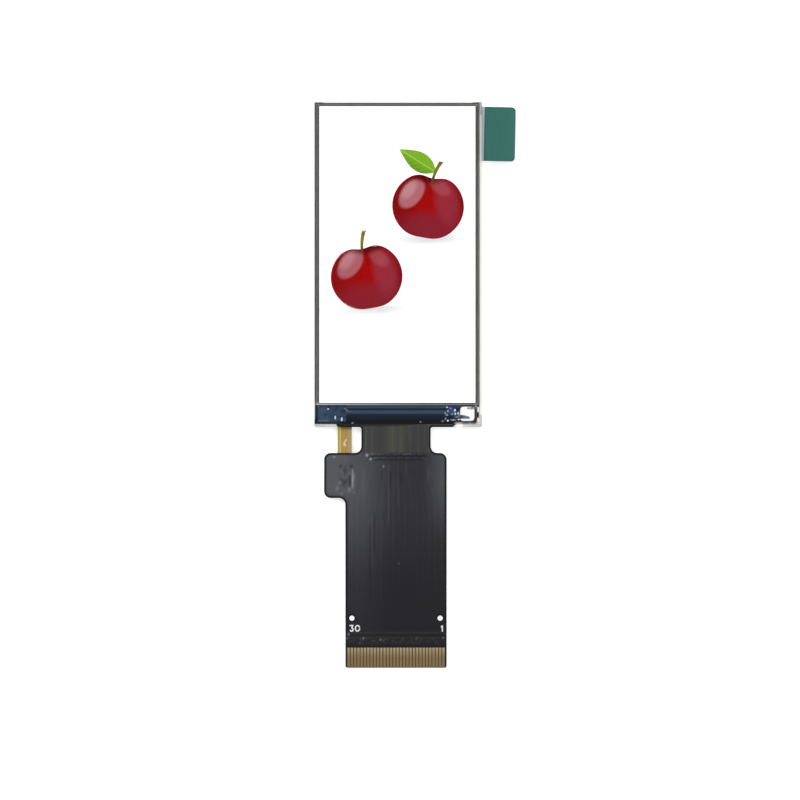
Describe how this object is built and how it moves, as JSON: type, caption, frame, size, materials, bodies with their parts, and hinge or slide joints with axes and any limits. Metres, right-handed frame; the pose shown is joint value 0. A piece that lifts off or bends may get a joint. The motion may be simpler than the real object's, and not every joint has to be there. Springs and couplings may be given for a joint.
{
  "type": "tft display module",
  "caption": "Small colour TFT display module: edge-lit backlight in a white frame, lit glass screen, blue-coated chip ledge, black flex tail with gold contacts and a green film pull tab.",
  "frame": {"origin": "centre of the backlight's back face", "axes": "+X to the right of the picture, +Y to its top, away from the flex tail, +Z out of the screen"},
  "size_m": [0.0309, 0.0866, 0.0015],
  "materials": {
    "white_frame_plastic": "moulded, satin",
    "reflector_film": "white reflective film",
    "acrylic": "clear, polished",
    "optical_film": "frosted and prismatic film",
    "rim_tape_black": "black tape",
    "amber_circuit": "polyimide film over copper",
    "white_tape": "thin tape",
    "solder": "tin solder",
    "led_housing": "moulded, white",
    "phosphor": "yellow resin",
    "polariser": "polariser film",
    "display_glass": "thin glass, polished",
    "seal_resin": "cured seal",
    "black_matrix": "black resin",
    "lit_white": "lit white field",
    "lit_red": "lit red field",
    "lit_brown": "lit brown field",
    "lit_green": "lit green field",
    "clear_polariser": "clear film, glossy",
    "clear_film": "clear film, glossy",
    "green_tape": "satin tape",
    "silicon": "ground silicon",
    "bond_film": "cured conductive film",
    "blue_resin": "glossy cured resin",
    "amber_film": "polyimide film",
    "black_cover_film": "satin black cover film",
    "gold_contact": "gold on nickel on copper",
    "black_stiffener": "polyimide sheet"
  },
  "bodies": {
    "root": {"backlight_frame": "white_frame_plastic", "reflector_sheet": "reflector_film", "light_guide": "acrylic", "diffuser_sheet": "optical_film", "lower_prism_sheet": "optical_film", "upper_prism_sheet": "optical_film", "rim_tape": "rim_tape_black", "led_flex": "amber_circuit", "led_flex_tape": "white_tape", "led_solder": "solder", "led_1": "led_housing", "led_2": "led_housing", "led_3": "led_housing", "led_4": "led_housing", "phosphor_1": "phosphor", "phosphor_2": "phosphor", "phosphor_3": "phosphor", "phosphor_4": "phosphor", "lower_polariser": "polariser", "array_glass": "display_glass", "cell_seal": "seal_resin", "black_matrix": "black_matrix", "lit_field": "lit_white", "picture_fruits": "lit_red", "picture_stalks": "lit_brown", "picture_leaf": "lit_green", "colour_filter_glass": "display_glass", "upper_polariser": "clear_polariser", "protective_film": "clear_film", "pull_tab": "green_tape", "driver_chip": "silicon", "chip_bond_film": "bond_film", "flex_bond_film": "bond_film", "ledge_coating": "blue_resin", "flex_base_film": "amber_film", "flex_cover_film": "black_cover_film", "flex_back_film": "black_cover_film", "contact_fingers": "gold_contact", "contact_stiffener": "black_stiffener", "tail_solder": "solder"}
  },
  "joints": []
}
